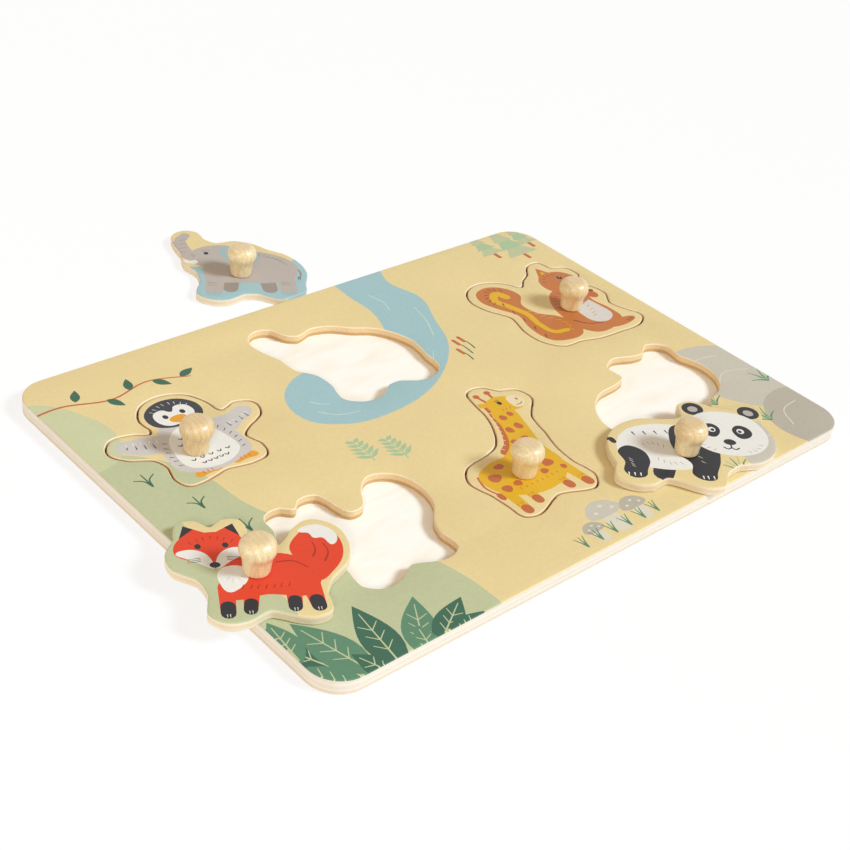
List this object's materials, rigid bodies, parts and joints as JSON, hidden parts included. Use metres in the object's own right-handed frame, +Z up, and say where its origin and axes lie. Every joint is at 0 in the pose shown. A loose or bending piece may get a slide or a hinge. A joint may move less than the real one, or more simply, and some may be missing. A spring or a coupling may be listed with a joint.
{
  "type": "knob puzzle",
  "caption": "Flat wooden puzzle board with shaped recesses and matching animal pieces, each lifted by a turned wooden knob; some pieces are out.",
  "frame": {"origin": "centre of the board's underside, the flat face it rests on", "axes": "+Z up out of the board's printed face, +X along its long side, +Y towards the top of the pictures"},
  "size_m": [0.3147, 0.3095, 0.0269],
  "materials": {
    "bare_ply": "satin",
    "printed_ply": "satin",
    "lacquered_beech": "gloss",
    "penguin_print": "satin",
    "elephant_print": "satin",
    "squirrel_print": "satin",
    "fox_print": "satin",
    "giraffe_print": "satin",
    "panda_print": "satin"
  },
  "bodies": {
    "board": {"board_backing_sheet": "bare_ply", "board_top_sheet": "printed_ply"},
    "penguin": {"penguin_plate": "penguin_print", "penguin_knob": "lacquered_beech"},
    "elephant": {"elephant_plate": "elephant_print", "elephant_knob": "lacquered_beech"},
    "squirrel": {"squirrel_plate": "squirrel_print", "squirrel_knob": "lacquered_beech"},
    "fox": {"fox_plate": "fox_print", "fox_knob": "lacquered_beech"},
    "giraffe": {"giraffe_plate": "giraffe_print", "giraffe_knob": "lacquered_beech"},
    "panda": {"panda_plate": "panda_print", "panda_knob": "lacquered_beech"}
  },
  "joints": [
    {"name": "penguin_lift", "type": "slide", "parent": "board", "child": "penguin", "axis": [0, 0, 1], "range_m": [0, 0.04]},
    {"name": "elephant_lift", "type": "slide", "parent": "board", "child": "elephant", "axis": [0, 0, 1], "range_m": [0, 0.04]},
    {"name": "squirrel_lift", "type": "slide", "parent": "board", "child": "squirrel", "axis": [0, 0, 1], "range_m": [0, 0.04]},
    {"name": "fox_lift", "type": "slide", "parent": "board", "child": "fox", "axis": [0, 0, 1], "range_m": [0, 0.04]},
    {"name": "giraffe_lift", "type": "slide", "parent": "board", "child": "giraffe", "axis": [0, 0, 1], "range_m": [0, 0.04]},
    {"name": "panda_lift", "type": "slide", "parent": "board", "child": "panda", "axis": [0, 0, 1], "range_m": [0, 0.04]}
  ]
}
